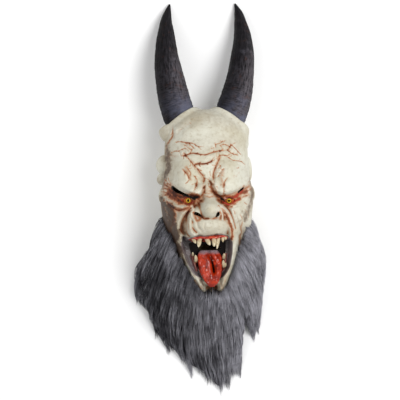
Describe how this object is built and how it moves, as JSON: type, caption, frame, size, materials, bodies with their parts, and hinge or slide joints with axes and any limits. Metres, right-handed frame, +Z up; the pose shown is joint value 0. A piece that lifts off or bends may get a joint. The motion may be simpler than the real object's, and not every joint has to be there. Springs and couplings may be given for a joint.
{
  "type": "horned folklore mask",
  "caption": "Over-the-head latex demon mask with long curved horns, a gaping toothed mouth, a hanging tongue and a grey fur beard, lying on its back.",
  "frame": {"origin": "middle of the flat spot at the back of the head, level with the eyes, on the surface the mask lies on", "axes": "+Z up, the way the face looks as it lies on its back; +Y along the head towards the horns; +X to the right of someone looking down at the face"},
  "size_m": [0.295, 0.8909, 0.2554],
  "materials": {
    "latex": "satin latex, bone coloured with a rust-brown wash in the creases",
    "horn": "satin, near black",
    "fur": "long grey hair",
    "tongue": "glossy wet red",
    "eye": "glossy, yellow with a black pupil",
    "tooth": "glossy cream, stained brown at the gum"
  },
  "bodies": {
    "root": {"mask_shell": "latex", "horn_left": "horn", "horn_right": "horn", "beard": "fur", "tongue": "tongue", "eye_left": "eye", "eye_right": "eye", "upper_tooth_1": "tooth", "upper_tooth_2": "tooth", "upper_tooth_3": "tooth", "upper_tooth_4": "tooth", "upper_tooth_5": "tooth", "upper_tooth_6": "tooth", "lower_tooth_1": "tooth", "lower_tooth_2": "tooth", "lower_tooth_3": "tooth", "lower_tooth_4": "tooth"}
  },
  "joints": []
}
